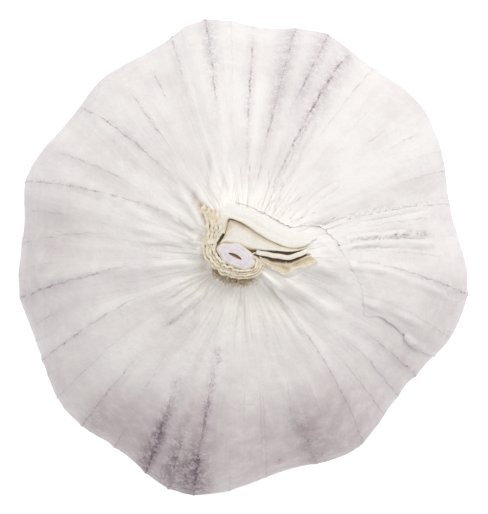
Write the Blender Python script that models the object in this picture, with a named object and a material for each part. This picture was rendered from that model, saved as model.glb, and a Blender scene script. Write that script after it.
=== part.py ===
"""A trimmed head of garlic: cloves wrapped in dry skin, a short cut neck and a root plate.

Metres, +Z up. The origin is the middle of the root plate's flat underside, where the bulb rests.
Azimuths are in degrees, counter-clockwise from +X as seen from above.
"""

from math import cos, hypot, pi, radians, sin

import bmesh
import bpy
from mathutils import Vector

MM = 0.001

# The wrapped cloves. Each row of the meridian is (radius, height, how far it follows the neck's outline).
EQUATOR_RADIUS = 30.0 * MM
MERIDIAN = (
    (9.3 * MM, 2.5 * MM, 0.0),
    (10.2 * MM, 1.75 * MM, 0.0),
    (14.5 * MM, 1.70 * MM, 0.0),
    (20.5 * MM, 3.4 * MM, 0.0),
    (25.8 * MM, 7.2 * MM, 0.0),
    (29.0 * MM, 12.6 * MM, 0.0),
    (30.0 * MM, 18.4 * MM, 0.0),
    (29.0 * MM, 24.4 * MM, 0.0),
    (25.6 * MM, 30.4 * MM, 0.0),
    (20.4 * MM, 35.2 * MM, 0.0),
    (14.8 * MM, 38.6 * MM, 0.15),
    (10.2 * MM, 40.9 * MM, 0.55),
    (7.3 * MM, 43.0 * MM, 1.0),
    (6.3 * MM, 45.0 * MM, 1.0),
)
NECK_ROW_RADIUS = 6.3 * MM
ROWS_BETWEEN = 2
AROUND = 80

# (azimuth, reach from the axis) of each clove's crest and of the groove before the next one.
CLOVES = (
    (350, 29.8 * MM),
    (42, 30.8 * MM),
    (70, 31.2 * MM),
    (100, 31.6 * MM),
    (127, 30.4 * MM),
    (160, 30.9 * MM),
    (190, 30.3 * MM),
    (222, 31.4 * MM),
    (255, 32.5 * MM),
    (297, 29.7 * MM),
)
GROOVES = (
    (12, 27.9 * MM),
    (56, 30.0 * MM),
    (84, 30.1 * MM),
    (115, 29.9 * MM),
    (141, 29.3 * MM),
    (173, 29.4 * MM),
    (201, 29.8 * MM),
    (237, 30.5 * MM),
    (285, 28.8 * MM),
    (320, 27.6 * MM),
)
# How strongly the cloves show, by height: weak under the bulb, full at the equator, fading to the neck.
CLOVE_RELIEF = ((0.0, 0.0), (1.8 * MM, 0.35), (12.0 * MM, 1.0), (26.0 * MM, 1.0), (41.5 * MM, 0.25), (43.5 * MM, 0.0))

# The neck is squeezed flat on one side, so its outline is a teardrop: (azimuth, reach from the axis).
NECK_OUTLINE = (
    (0, 9.9 * MM),
    (28, 6.4 * MM),
    (58, 5.2 * MM),
    (90, 5.7 * MM),
    (126, 7.9 * MM),
    (167, 5.9 * MM),
    (205, 4.4 * MM),
    (232, 3.9 * MM),
    (270, 3.5 * MM),
    (300, 3.6 * MM),
    (338, 7.3 * MM),
)

# The torn outer leaf: its upper edge, as (azimuth, distance from the axis), and its foot under the bulb.
TORN_EDGE = (
    (-28, 18.6 * MM),
    (-20, 17.1 * MM),
    (-8, 14.9 * MM),
    (6, 13.1 * MM),
    (20, 11.8 * MM),
    (36, 10.6 * MM),
    (60, 10.0 * MM),
    (90, 10.2 * MM),
    (107, 11.2 * MM),
)
TORN_LEAF_FOOT = 16.0 * MM
TORN_LEAF_STEPS = (30, 24)
LEAF_GAP = 0.32 * MM
LEAF_THICKNESS = 0.36 * MM

# The cut leaf bases that stand in the neck.
SHEATH_FOOT = 45.3 * MM
CORE_CENTRE = (-0.75 * MM, -0.05 * MM)
CORE_HALF = (2.45 * MM, 1.25 * MM)
CORE_TILT = -25
CORE_TOP = 47.4 * MM
SLIT_HALF = (1.0 * MM, 0.28 * MM)
SLIT_DEPTH = 1.4 * MM

# Plan routes of the sheath walls, each with its thickness and the height of its cut edge.
SHEATHS = {
    "inner_sheath": (
        ((-2.75, 2.35), (-3.72, 1.75), (-3.75, 0.55), (-2.85, -0.95), (-1.55, -1.95), (0.1, -2.2), (1.75, -1.85)),
        0.45 * MM,
        47.9 * MM,
    ),
    "outer_sheath": (
        ((-4.0, 5.9), (-4.75, 4.3), (-4.95, 2.4), (-4.75, 0.6), (-3.95, -1.0), (-2.5, -2.4), (-0.6, -3.0), (1.0, -2.95)),
        0.45 * MM,
        48.2 * MM,
    ),
    "upper_sheath": (
        ((-3.2, 5.6), (-1.7, 5.2), (0.3, 4.3), (2.0, 3.4), (3.7, 2.6), (5.6, 1.9), (8.0, 1.75)),
        0.6 * MM,
        48.6 * MM,
    ),
    "folded_leaf": (
        ((-1.95, 4.3), (-2.15, 3.2), (-1.3, 2.2), (0.5, 1.75), (2.4, 1.05), (4.3, 0.25), (6.2, 0.1), (7.9, 0.75)),
        0.5 * MM,
        48.3 * MM,
    ),
    "front_leaf": (
        ((2.35, -1.9), (2.5, -0.75), (3.6, -1.0), (4.9, -1.65), (6.5, -1.75), (8.0, -1.15), (9.0, -0.35)),
        0.45 * MM,
        47.6 * MM,
    ),
}
SHEATH_STEPS = 5
SHEATH_FLARE = 0.04

# The root plate, with the trimmed ends of its roots around it.
PLATE_RADIUS = 7.2 * MM
PLATE_TOP_RADIUS = 8.4 * MM
PLATE_THICKNESS = 2.1 * MM
ROOT_STUBS = 22
STUB_OFFSET = 0.3
STUB_RADIUS = 0.5 * MM
STUB_REACH = 8.8 * MM
STUB_LENGTH = 2.6 * MM
STUB_HEIGHTS = (0.65 * MM, 1.0 * MM, 0.8 * MM)

COLOURS = {
    "papery skin": ((0.83, 0.79, 0.77), 0.5),
    "dry sheath": ((0.80, 0.70, 0.54), 0.65),
    "root tissue": ((0.45, 0.34, 0.22), 0.85),
}


def clear_scene():
    for obj in list(bpy.data.objects):
        bpy.data.objects.remove(obj, do_unlink=True)


def make_material(name):
    colour, roughness = COLOURS[name]
    material = bpy.data.materials.new(name)
    material.use_nodes = True
    shader = material.node_tree.nodes["Principled BSDF"]
    shader.inputs["Base Color"].default_value = (*colour, 1.0)
    shader.inputs["Roughness"].default_value = roughness
    shader.inputs["Metallic"].default_value = 0.0
    return material


def add_object(name, bm, material):
    bmesh.ops.recalc_face_normals(bm, faces=bm.faces)
    mesh = bpy.data.meshes.new(name)
    bm.to_mesh(mesh)
    bm.free()
    mesh.materials.append(material)
    mesh.shade_smooth()
    mesh.set_sharp_from_angle(angle=radians(50))
    obj = bpy.data.objects.new(name, mesh)
    bpy.context.scene.collection.objects.link(obj)
    return obj


def catmull_rom(points, per_span):
    """Points of a smooth curve through the given ones, with per_span steps between neighbours."""
    last = len(points) - 1
    curve = []
    for i in range(last):
        around = [points[min(max(i + k, 0), last)] for k in (-1, 0, 1, 2)]
        for step in range(per_span):
            t = step / per_span
            blend = (
                (-t + 2 * t**2 - t**3) / 2,
                (2 - 5 * t**2 + 3 * t**3) / 2,
                (t + 4 * t**2 - 3 * t**3) / 2,
                (t**3 - t**2) / 2,
            )
            curve.append(tuple(sum(b * p[axis] for b, p in zip(blend, around)) for axis in range(len(points[0]))))
    curve.append(tuple(points[last]))
    return curve


def eased(stations, at, period=None):
    """The value at a place between stations (place, value), with a level tangent at each station."""
    stations = sorted(stations)
    if period:
        at %= period
        first, last = stations[0], stations[-1]
        stations = [(last[0] - period, last[1]), *stations, (first[0] + period, first[1])]
    at = min(max(at, stations[0][0]), stations[-1][0])
    for (low, start), (high, end) in zip(stations, stations[1:]):
        if at <= high:
            share = (1 - cos(pi * (at - low) / (high - low))) / 2
            return start + share * (end - start)
    return stations[-1][1]


def body_point(azimuth, row, stand_off=0.0):
    """A point of the wrapped cloves' surface, or stand_off outside it. row is (radius, height, neckness, outward)."""
    radius, height, neckness, (out, up) = row
    swell = eased(CLOVES + GROOVES, azimuth, period=360) - EQUATOR_RADIUS
    push = swell * eased(CLOVE_RELIEF, height) + stand_off
    neck_reach = eased(NECK_OUTLINE, azimuth, period=360) * radius / NECK_ROW_RADIUS
    reach = (1 - neckness) * radius + neckness * neck_reach + push * out
    angle = radians(azimuth)
    return Vector((reach * cos(angle), reach * sin(angle), height + push * up))


def meridian_rows():
    """The meridian as smooth rows of (radius, height, neckness, outward direction)."""
    curve = catmull_rom(MERIDIAN, ROWS_BETWEEN)
    rows = []
    for i, (radius, height, neckness) in enumerate(curve):
        before = curve[max(i - 1, 0)]
        after = curve[min(i + 1, len(curve) - 1)]
        along = (after[0] - before[0], after[1] - before[1])
        length = hypot(*along)
        rows.append((radius, height, neckness, (along[1] / length, -along[0] / length)))
    return rows


def make_bulb_body(rows, material):
    """The cloves in their wrapper: a closed shell of rings, with a flat seat for the roots and a flat neck top."""
    bm = bmesh.new()
    rings = []
    for row in rows:
        rings.append([bm.verts.new(body_point(360 * i / AROUND, row)) for i in range(AROUND)])
    for low, high in zip(rings, rings[1:]):
        for i in range(AROUND):
            j = (i + 1) % AROUND
            bm.faces.new((low[i], low[j], high[j], high[i]))
    for ring in (rings[0], rings[-1]):
        middle = sum((v.co for v in ring), Vector()) / AROUND
        centre = bm.verts.new((middle.x, middle.y, ring[0].co.z))
        for i in range(AROUND):
            bm.faces.new((ring[i], ring[(i + 1) % AROUND], centre))
    return add_object("bulb_body", bm, material)


def row_at(curve, distance, low_side):
    """The meridian row at a distance from the axis, on its lower or upper side."""
    half = len(curve) // 2
    part = curve[:half] if low_side else curve[half:]
    for (inner, outer) in zip(part, part[1:]):
        low, high = sorted((inner[0], outer[0]))
        if low <= distance <= high:
            share = (distance - inner[0]) / (outer[0] - inner[0])
            mix = [a + share * (b - a) for a, b in zip(inner[:3], outer[:3])]
            out = inner[3][0] + share * (outer[3][0] - inner[3][0])
            up = inner[3][1] + share * (outer[3][1] - inner[3][1])
            return (*mix, (out, up)), part.index(inner) + share + (0 if low_side else half)
    raise ValueError("the meridian has no row that far out")


def interpolated_row(curve, place):
    i = min(int(place), len(curve) - 2)
    share = place - i
    mix = [a + share * (b - a) for a, b in zip(curve[i][:3], curve[i + 1][:3])]
    out, up = (a + share * (b - a) for a, b in zip(curve[i][3], curve[i + 1][3]))
    return (*mix, (out, up))


def make_torn_leaf(rows, material):
    """The outermost dry leaf, which has torn away from the neck and still wraps one side of the bulb."""
    across, down = TORN_LEAF_STEPS
    start, end = TORN_EDGE[0][0], TORN_EDGE[-1][0]
    _, foot = row_at(rows, TORN_LEAF_FOOT, low_side=True)
    bm = bmesh.new()
    columns = []
    for i in range(across + 1):
        azimuth = start + (end - start) * i / across
        _, top = row_at(rows, eased(TORN_EDGE, azimuth), low_side=False)
        places = [foot + (top - foot) * k / down for k in range(down + 1)]
        columns.append([bm.verts.new(body_point(azimuth, interpolated_row(rows, p), LEAF_GAP)) for p in places])
    for left, right in zip(columns, columns[1:]):
        for k in range(down):
            bm.faces.new((left[k], right[k], right[k + 1], left[k + 1]))
    leaf = add_object("torn_outer_leaf", bm, material)
    wall = leaf.modifiers.new("leaf thickness", "SOLIDIFY")
    wall.thickness = LEAF_THICKNESS
    wall.offset = 1.0
    return leaf


def make_sheath(name, material):
    """A cut leaf base: a thin wall on its plan route, leaning outwards a little towards its cut edge."""
    route, thickness, top = SHEATHS[name]
    plan = catmull_rom([(x * MM, y * MM) for x, y in route], SHEATH_STEPS)
    levels = (SHEATH_FOOT, (SHEATH_FOOT + top) / 2, top)
    bm = bmesh.new()
    walls = []
    for level, height in enumerate(levels):
        flare = 1 + SHEATH_FLARE * level / (len(levels) - 1)
        walls.append([bm.verts.new((x * flare, y * flare, height)) for x, y in plan])
    for low, high in zip(walls, walls[1:]):
        for i in range(len(plan) - 1):
            bm.faces.new((low[i], low[i + 1], high[i + 1], high[i]))
    sheath = add_object(name, bm, material)
    wall = sheath.modifiers.new("leaf thickness", "SOLIDIFY")
    wall.thickness = thickness
    wall.offset = 0.0
    return sheath


def oval_prism(name, half, tilt, low, high, material, sides=24):
    """An upright prism with an oval plan, turned by tilt degrees about the neck core's centre."""
    bm = bmesh.new()
    turn = radians(tilt)
    ring = []
    for i in range(sides):
        a = 2 * pi * i / sides
        x, y = half[0] * cos(a), half[1] * sin(a)
        place = (CORE_CENTRE[0] + x * cos(turn) - y * sin(turn), CORE_CENTRE[1] + x * sin(turn) + y * cos(turn), low)
        ring.append(bm.verts.new(place))
    base = bm.faces.new(ring)
    grown = bmesh.ops.extrude_face_region(bm, geom=[base])
    moved = [v for v in grown["geom"] if isinstance(v, bmesh.types.BMVert)]
    bmesh.ops.translate(bm, verts=moved, vec=(0, 0, high - low))
    return add_object(name, bm, material)


def make_neck_core(material):
    """The innermost rolled leaf bases, cut across, with the narrow slit where they meet."""
    core = oval_prism("neck_core", CORE_HALF, CORE_TILT, SHEATH_FOOT, CORE_TOP, material)
    slit = oval_prism("slit_cutter", SLIT_HALF, CORE_TILT, CORE_TOP - SLIT_DEPTH, CORE_TOP + SLIT_DEPTH, material, 12)
    slit.hide_render = True
    slit.display_type = "WIRE"
    cut = core.modifiers.new("slit", "BOOLEAN")
    cut.operation = "DIFFERENCE"
    cut.object = slit
    return core


def make_root_plate(material):
    """The hard disc that the roots grew from, flat underneath, joined with the trimmed ends of its outer roots."""
    bm = bmesh.new()
    bmesh.ops.create_cone(
        bm, cap_ends=True, segments=44, radius1=PLATE_RADIUS, radius2=PLATE_TOP_RADIUS, depth=PLATE_THICKNESS
    )
    bmesh.ops.translate(bm, verts=bm.verts, vec=(0, 0, PLATE_THICKNESS / 2))
    plate = add_object("root_plate", bm, material)
    for i in range(ROOT_STUBS):
        bm = bmesh.new()
        bmesh.ops.create_cone(
            bm, cap_ends=True, segments=8, radius1=STUB_RADIUS, radius2=STUB_RADIUS * 0.8, depth=STUB_LENGTH
        )
        stub = add_object(f"stub_cutter_{i:02d}", bm, material)
        azimuth = 2 * pi * (i + STUB_OFFSET) / ROOT_STUBS
        middle = STUB_REACH - STUB_LENGTH / 2
        stub.location = (middle * cos(azimuth), middle * sin(azimuth), STUB_HEIGHTS[i % len(STUB_HEIGHTS)])
        stub.rotation_euler = (0, pi / 2, azimuth)
        stub.hide_render = True
        stub.display_type = "WIRE"
        union = plate.modifiers.new(f"root {i:02d}", "BOOLEAN")
        union.operation = "UNION"
        union.object = stub
    return plate


def main():
    clear_scene()
    materials = {name: make_material(name) for name in COLOURS}
    rows = meridian_rows()
    make_bulb_body(rows, materials["papery skin"])
    make_torn_leaf(rows, materials["papery skin"])
    make_root_plate(materials["root tissue"])
    make_neck_core(materials["dry sheath"])
    for name in SHEATHS:
        make_sheath(name, materials["dry sheath"])


main()
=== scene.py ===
"""The looks of a trimmed head of garlic: papery skins, raised veins, a cut neck and a corky root plate.

Lengths are in millimetres in the tables below and become metres where a mesh is made. Azimuths are in
degrees, counter-clockwise from +X as seen from above. A polar angle is measured at the bulb's heart,
from straight up.
"""

from functools import partial
from math import atan2, cos, degrees, hypot, pi, radians, sin

import bmesh
import bpy
import numpy as np
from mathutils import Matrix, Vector, noise
from mathutils.bvhtree import BVHTree
from mathutils.kdtree import KDTree


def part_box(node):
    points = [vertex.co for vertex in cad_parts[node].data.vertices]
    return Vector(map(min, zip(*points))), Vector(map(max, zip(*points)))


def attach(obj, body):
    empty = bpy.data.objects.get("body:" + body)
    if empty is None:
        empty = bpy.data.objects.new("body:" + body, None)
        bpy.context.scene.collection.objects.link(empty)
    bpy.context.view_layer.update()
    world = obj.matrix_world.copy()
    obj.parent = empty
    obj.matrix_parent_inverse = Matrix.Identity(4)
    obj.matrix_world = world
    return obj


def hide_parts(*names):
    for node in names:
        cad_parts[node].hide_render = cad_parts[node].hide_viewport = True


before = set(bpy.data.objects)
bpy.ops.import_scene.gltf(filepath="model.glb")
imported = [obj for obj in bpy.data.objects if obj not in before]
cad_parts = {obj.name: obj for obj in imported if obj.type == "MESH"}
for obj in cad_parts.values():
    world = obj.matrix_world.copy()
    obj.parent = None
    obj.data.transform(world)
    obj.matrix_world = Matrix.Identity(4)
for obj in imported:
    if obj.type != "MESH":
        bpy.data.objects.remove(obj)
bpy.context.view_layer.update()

MM = 0.001

BODY_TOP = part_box("bulb_body")[1].z
HEART = Vector((0, 0, 20 * MM))
# About the radius of the bulb at its girth, in millimetres.
GIRTH = 30.0
NECK_TOP = BODY_TOP / MM
PLATE_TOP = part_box("root_plate")[1].z / MM

# ---------------------------------------------------------------- small tools


def smoothstep(value, low, high):
    """0 at low, 1 at high, eased between. low may be the larger."""
    share = np.clip((np.asarray(value, float) - low) / (high - low), 0, 1)
    return share * share * (3 - 2 * share)


def smooth_curve(points, count, closed=False):
    """count points, evenly spaced along a Catmull-Rom curve through the given ones."""
    pts = np.asarray(points, float)
    if closed:
        pts = np.vstack((pts[-1], pts, pts[:2]))
    else:
        pts = np.vstack((2 * pts[0] - pts[1], pts, 2 * pts[-1] - pts[-2]))
    fine = []
    for i in range(1, len(pts) - 2):
        p0, p1, p2, p3 = pts[i - 1 : i + 3]
        for t in np.linspace(0, 1, 24, endpoint=False):
            bend = (-p0 + 3 * p1 - 3 * p2 + p3) * t**3 + (2 * p0 - 5 * p1 + 4 * p2 - p3) * t**2
            fine.append((bend + (p2 - p0) * t + 2 * p1) / 2)
    fine.append(pts[-2])
    fine = np.array(fine)
    run = np.concatenate(([0], np.cumsum(np.linalg.norm(np.diff(fine, axis=0), axis=1))))
    places = np.linspace(0, run[-1], count, endpoint=not closed)
    return np.column_stack([np.interp(places, run, fine[:, k]) for k in range(fine.shape[1])])


def grain(x, y=0.0, z=0.0):
    """A smooth random value between about -1 and 1 at a place."""
    return noise.noise(Vector((x, y, z)))


def new_object(name, data):
    obj = bpy.data.objects.new(name, data)
    bpy.context.scene.collection.objects.link(obj)
    return obj


def mesh_object(name, places, edges=(), faces=()):
    """A mesh from places in millimetres."""
    mesh = bpy.data.meshes.new(name)
    mesh.from_pydata((np.asarray(places) * MM).tolist(), edges, faces)
    return new_object(name, mesh)


def grid_object(name, points, closed_round=False):
    """A sheet of quads from rows and columns of places, or a tube of them with both its ends closed."""
    rows, columns = points.shape[:2]
    faces = []
    for r in range(rows - 1):
        for c in range(columns - (not closed_round)):
            d = (c + 1) % columns
            faces.append((r * columns + c, r * columns + d, (r + 1) * columns + d, (r + 1) * columns + c))
    if closed_round:
        faces += [tuple(range(first, first + columns)) for first in (0, (rows - 1) * columns)]
    return mesh_object(name, points.reshape(-1, 3), faces=faces)


def set_marks(mesh, **marks):
    """Stores values for each point of a mesh, which its material or a tree reads by name."""
    for name, values in marks.items():
        layer = mesh.attributes.get(name) or mesh.attributes.new(name, "FLOAT", "POINT")
        layer.data.foreach_set("value", np.asarray(values, np.float32))


def vertex_array(mesh):
    flat = np.empty(len(mesh.vertices) * 3, np.float32)
    mesh.vertices.foreach_get("co", flat)
    return flat.reshape(-1, 3) / MM


def modifier(obj, kind, **settings):
    made = obj.modifiers.new(kind.lower(), kind)
    for key, value in settings.items():
        setattr(made, key, value)


def subdivide(obj, levels):
    modifier(obj, "SUBSURF", levels=levels, render_levels=levels)


def thicken(obj, thickness, offset, shares=None, least=0.0):
    """Gives a sheet a thickness in millimetres. Each point has its share of it, and at least the least."""
    group = obj.vertex_groups.new(name="thick")
    if shares is None:
        shares = np.ones(len(obj.data.vertices))
    for i, share in enumerate(shares):
        group.add([i], float(share), "REPLACE")
    settings = {"vertex_group": "thick", "thickness_vertex_group": least}
    modifier(obj, "SOLIDIFY", thickness=thickness * MM, offset=offset, **settings)


def applied(obj):
    """Turns the object with its modifiers into a plain mesh, shaded smooth."""
    graph = bpy.context.evaluated_depsgraph_get()
    settings = {"preserve_all_data_layers": True, "depsgraph": graph}
    mesh = bpy.data.meshes.new_from_object(obj.evaluated_get(graph), **settings)
    if "custom_normal" in mesh.attributes:
        mesh.attributes.remove(mesh.attributes["custom_normal"])
    obj.modifiers.clear()
    obj.data = mesh
    mesh.shade_smooth()
    return obj


def face_outwards(obj):
    bm = bmesh.new()
    bm.from_mesh(obj.data)
    bmesh.ops.recalc_face_normals(bm, faces=bm.faces)
    bm.to_mesh(obj.data)
    bm.free()
    return obj


def finished(obj, material, slot, *nodes):
    """Gives a piece its material and its place in the frame."""
    obj.data.materials.clear()
    obj.data.materials.append(material)
    obj.data.polygons.foreach_set("material_index", [0] * len(obj.data.polygons))
    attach(obj, "root")
    if nodes:
        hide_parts(*nodes)


# ---------------------------------------------------------------- nodes, for materials and for Geometry Nodes

MATH, VECTOR = "ShaderNodeMath", "ShaderNodeVectorMath"
NOISE, RANGE = "ShaderNodeTexNoise", "ShaderNodeMapRange"
SPLIT, JOIN = "ShaderNodeSeparateXYZ", "ShaderNodeCombineXYZ"
PLACE, MOVE = "GeometryNodeInputPosition", "GeometryNodeSetPosition"
NOISE_INPUTS = ("Vector", "Scale", "Detail", "Roughness")


def connect(made, inputs):
    """Links or sets a node's inputs, given by name or number."""
    for key, value in inputs.items():
        if isinstance(value, bpy.types.NodeSocket):
            made.id_data.links.new(value, made.inputs[key])
        else:
            made.inputs[key].default_value = value


def add(tree, kind, inputs=(), output=None, **settings):
    """Adds a node with its settings and links, and gives the named output, or the first one in use.

    inputs holds sockets to link and plain values, in the node's own order or by name or number."""
    made = tree.nodes.new(kind)
    for key, value in settings.items():
        setattr(made, key, value)
    connect(made, inputs if isinstance(inputs, dict) else dict(enumerate(inputs)))
    if output is not None:
        return made.outputs[output]
    return next((socket for socket in made.outputs if socket.enabled), None)


def product(node, *factors):
    """Multiplies sockets, numbers and smooth ramps. A ramp is (value, where it is 0, where it is 1), and then
    what it gives there if that is not 0 and 1."""
    result = 1.0
    for factor in factors:
        if isinstance(factor, tuple):
            factor = node(RANGE, factor, interpolation_type="SMOOTHSTEP")
        result = factor if result == 1.0 else node(MATH, (result, factor), operation="MULTIPLY")
    return result


def total(node, result, *parts):
    """Adds values to a first one, each given with its weight."""
    for value, weight in parts:
        result = node(MATH, (value, weight, result), operation="MULTIPLY_ADD")
    return result


def about_axis(node, in_mm):
    """Distance from the bulb's axis, the direction away from it, and the height."""
    x, y, height = node(SPLIT, (in_mm,)).node.outputs
    flat = node(JOIN, (x, y))
    return node(VECTOR, (flat,), operation="LENGTH"), node(VECTOR, (flat,), operation="NORMALIZE"), height


def new_tree(name, sockets):
    """A Geometry Nodes tree that takes a geometry and named inputs of the given kinds."""
    tree = bpy.data.node_groups.new(name, "GeometryNodeTree")
    for title, kind in ({"Geometry": "Geometry", "Material": "Material"} | sockets).items():
        tree.interface.new_socket(name=title, in_out="INPUT", socket_type=f"NodeSocket{kind}")
    tree.interface.new_socket(name="Geometry", in_out="OUTPUT", socket_type="NodeSocketGeometry")
    return tree, partial(add, tree), tree.nodes.new("NodeGroupInput").outputs


def close_tree(node, geometry, given):
    """Ends a tree with real geometry in one material."""
    real = node("GeometryNodeRealizeInstances", {"Geometry": geometry})
    dressed = node("GeometryNodeSetMaterial", {"Geometry": real, "Material": given["Material"]})
    node("NodeGroupOutput", {"Geometry": dressed})


def push_out(node, given, height):
    """Ends a tree that moves a skin out along its normal by a height in metres."""
    offset = node(VECTOR, {0: node("GeometryNodeInputNormal"), 3: height}, operation="SCALE")
    close_tree(node, node(MOVE, {"Geometry": given["Geometry"], "Offset": offset}), given)


def run_tree(obj, tree, values):
    """Applies a tree to an object, with its inputs set by name."""
    made = obj.modifiers.new(tree.name, "NODES")
    made.node_group = tree
    for item in tree.interface.items_tree:
        if item.in_out == "INPUT" and item.name in values:
            made[item.identifier] = values[item.name]
    return applied(obj)


# ---------------------------------------------------------------- materials


def linear(hexcode):
    """An sRGB hex colour as the linear values that a shader takes."""
    parts = [int(hexcode[i : i + 2], 16) / 255 for i in (1, 3, 5)]
    return (*[p / 12.92 if p <= 0.04045 else ((p + 0.055) / 1.055) ** 2.4 for p in parts], 1.0)


def new_material(name):
    material = bpy.data.materials.new(name)
    material.use_nodes = True
    tree = material.node_tree
    return material, partial(add, tree), tree.nodes["Principled BSDF"]


def paint(node, colour, *coats):
    """Lays coats on a colour. A coat is its own colour and the factors of the share of it that shows."""
    for tone, *factors in coats:
        under, over = (linear(c) if isinstance(c, str) else c for c in (colour, tone))
        colour = node("ShaderNodeMix", {0: product(node, *factors), 6: under, 7: over}, data_type="RGBA")
    return colour


def surface_of(node, shader, colour, roughness, relief, depth, strength):
    """Puts a colour, a roughness and a relief of a depth in millimetres on the shader."""
    bump = node("ShaderNodeBump", {"Height": relief, "Distance": depth * MM, "Strength": strength})
    connect(shader, {"Base Color": colour, "Roughness": roughness, "Normal": bump})


def let_light_in(shader, share, reach, radius):
    """Lets a share of the light go a reach in millimetres into the material, by colour as radius says."""
    values = {"Weight": share, "Scale": reach * MM, "Radius": radius}
    connect(shader, {f"Subsurface {key}": value for key, value in values.items()})


def places_in_mm(node, height_scale=1.0):
    """Object coordinates in millimetres. A height scale below 1 draws a pattern out upwards."""
    place = node("ShaderNodeTexCoord", output="Object")
    return node("ShaderNodeMapping", {"Vector": place, "Scale": (1000, 1000, 1000 * height_scale)})


def meridian_places(node, in_mm, stretch):
    """Coordinates whose patterns are drawn out along the bulb's meridians by a stretch. Also gives the
    distance from the axis and the height."""
    distance, around, height = about_axis(node, in_mm)
    ring = node(VECTOR, {0: around, 3: GIRTH}, operation="SCALE")
    along = product(node, node(MATH, (height, distance), operation="SUBTRACT"), 1 / stretch)
    return node(VECTOR, (ring, node(JOIN, {2: along}))), distance, height


def several(node, kind, keys, rows):
    """Adds a node for each row of its inputs."""
    return [node(kind, dict(zip(keys, row))) for row in rows]


def papery_skin():
    """Dry outer leaf of the bulb: thin cellulose film with lengthwise fibres. It looks silky and slightly
    see-through, so light goes a little way into it, and the fibres break up its soft gloss."""
    material, node, shader = new_material("dry_garlic_skin")
    in_mm = places_in_mm(node)
    drawn, distance, height = meridian_places(node, in_mm, stretch=14)
    # Fibres are about 0.3 mm apart and pleats about 2 mm, gores are the broad bands of each leaf, and the
    # gathers are where the film is drawn in to the neck.
    along = ((drawn, 2.6, 3.0, 0.6), (drawn, 0.42), (drawn, 0.15, 1.0), (drawn, 0.2))
    fibres, pleats, gores, gathers = several(node, NOISE, NOISE_INPUTS, along)
    # Clouds are about 8 mm across, mottles 2 mm, blots 1 mm, and grains and speckles 0.3 mm.
    across = ((0.12, 3.0), (0.5, 5.0, 0.6), (0.9, 5.0, 0.75), (3.6, 4.0, 0.7), (3.2,))
    across = [(in_mm, *row) for row in across]
    clouds, mottle, blots, grains, speckle = several(node, NOISE, NOISE_INPUTS, across)
    # The net of cell wrinkles is about 1.5 mm across.
    cells = {"Vector": drawn, "Scale": 0.55}
    net = node("ShaderNodeTexVoronoi", cells, output="Distance", feature="DISTANCE_TO_EDGE")
    net = product(node, (net, 0.0, 0.12, 1.0, 0.0))
    names = ("mauve_shade", "purple", "halo", "stain", "vein")
    mauve_shade, purple, halo, stain, vein = [
        node("ShaderNodeAttribute", output="Fac", attribute_name=name) for name in names
    ]
    stained = product(node, (purple, 0.3, 0.7))
    wash = product(node, (blots, 0.38, 0.58, 0.25, 0.9))
    dots = total(node, wash, (product(node, (grains, 0.5, 0.6)), 0.35))
    off_middle = node(MATH, (node(MATH, (gathers, 0.5), operation="SUBTRACT"),), operation="ABSOLUTE")
    crease = product(node, (off_middle, 0.0, 0.022, 1.0, 0.0), (distance, 15.0, 8.0), (height, 34.0, 39.0))
    colour = paint(
        node,
        "#F0EDEB",
        ("#E7E1E0", (clouds, 0.35, 0.7)),
        ("#DCD2D1", (mottle, 0.48, 0.68, 0.0, 0.2)),
        ("#F5F1EA", (mottle, 0.46, 0.32, 0.0, 0.3)),
        ("#DDD5D3", (pleats, 0.5, 0.75, 0.0, 0.22)),
        ("#D3C9C8", (fibres, 0.5, 0.75, 0.0, 0.08)),
        ("#DAD1D1", (gores, 0.5, 0.6, 0.0, 0.3)),
        ("#F6F3F0", (gores, 0.46, 0.36, 0.0, 0.4)),
        ("#F6F3F1", net, 0.12),
        # Mauve, partly the skin's own tint and partly painted shade that darkens the flanks.
        ("#BEADB0", mauve_shade, (mottle, 0.3, 0.62, 0.65, 1.05)),
        # Purple sits in grains, thickest beside the veins.
        ("#7A6371", purple, dots),
        (
            paint(node, "#BCA7B1", ("#7D6671", stained)),
            halo,
            (blots, 0.4, 0.58, 0.25, 1.0),
            (grains, 0.42, 0.6, 0.4, 1.0),
        ),
        # Cream where the skin dries round the neck, made brighter there as painted light against the shade of
        # its slope, with fine sharp creases, and tan towards the roots.
        ("#FEFAF3", (distance, 13.0, 6.0), (height, 36.0, 41.0, 0.0, 0.8)),
        # Painted shade: the fine creases round the neck are darkened a little.
        ("#C9B8B2", crease, 0.16),
        ("#BFA98C", (distance, 20.0, 9.0), (height, 8.0, 2.5, 0.0, 0.7)),
        # Brown scurf round the neck, partly painted shade under the neck.
        ("#AE9170", stain, (grains, 0.38, 0.6, 0.35, 1.0)),
        (
            paint(node, "#A08D94", ("#604B56", stained)),
            node(MATH, (vein, 1.4), operation="POWER"),
            (grains, 0.4, 0.6, 0.2, 0.95),
        ),
    )
    parts = ((fibres, 0.12), (pleats, 0.6), (speckle, 0.12), (mottle, 2.6), (net, 0.12), (crease, -0.4))
    roughness, relief = total(node, 0.38, (fibres, 0.2)), total(node, 0.0, *parts)
    surface_of(node, shader, colour, roughness, relief, 0.12, 0.9)
    let_light_in(shader, 0.1, 0.2, (1.0, 0.85, 0.8))
    shader.inputs["IOR"].default_value = 1.45
    return material


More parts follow.
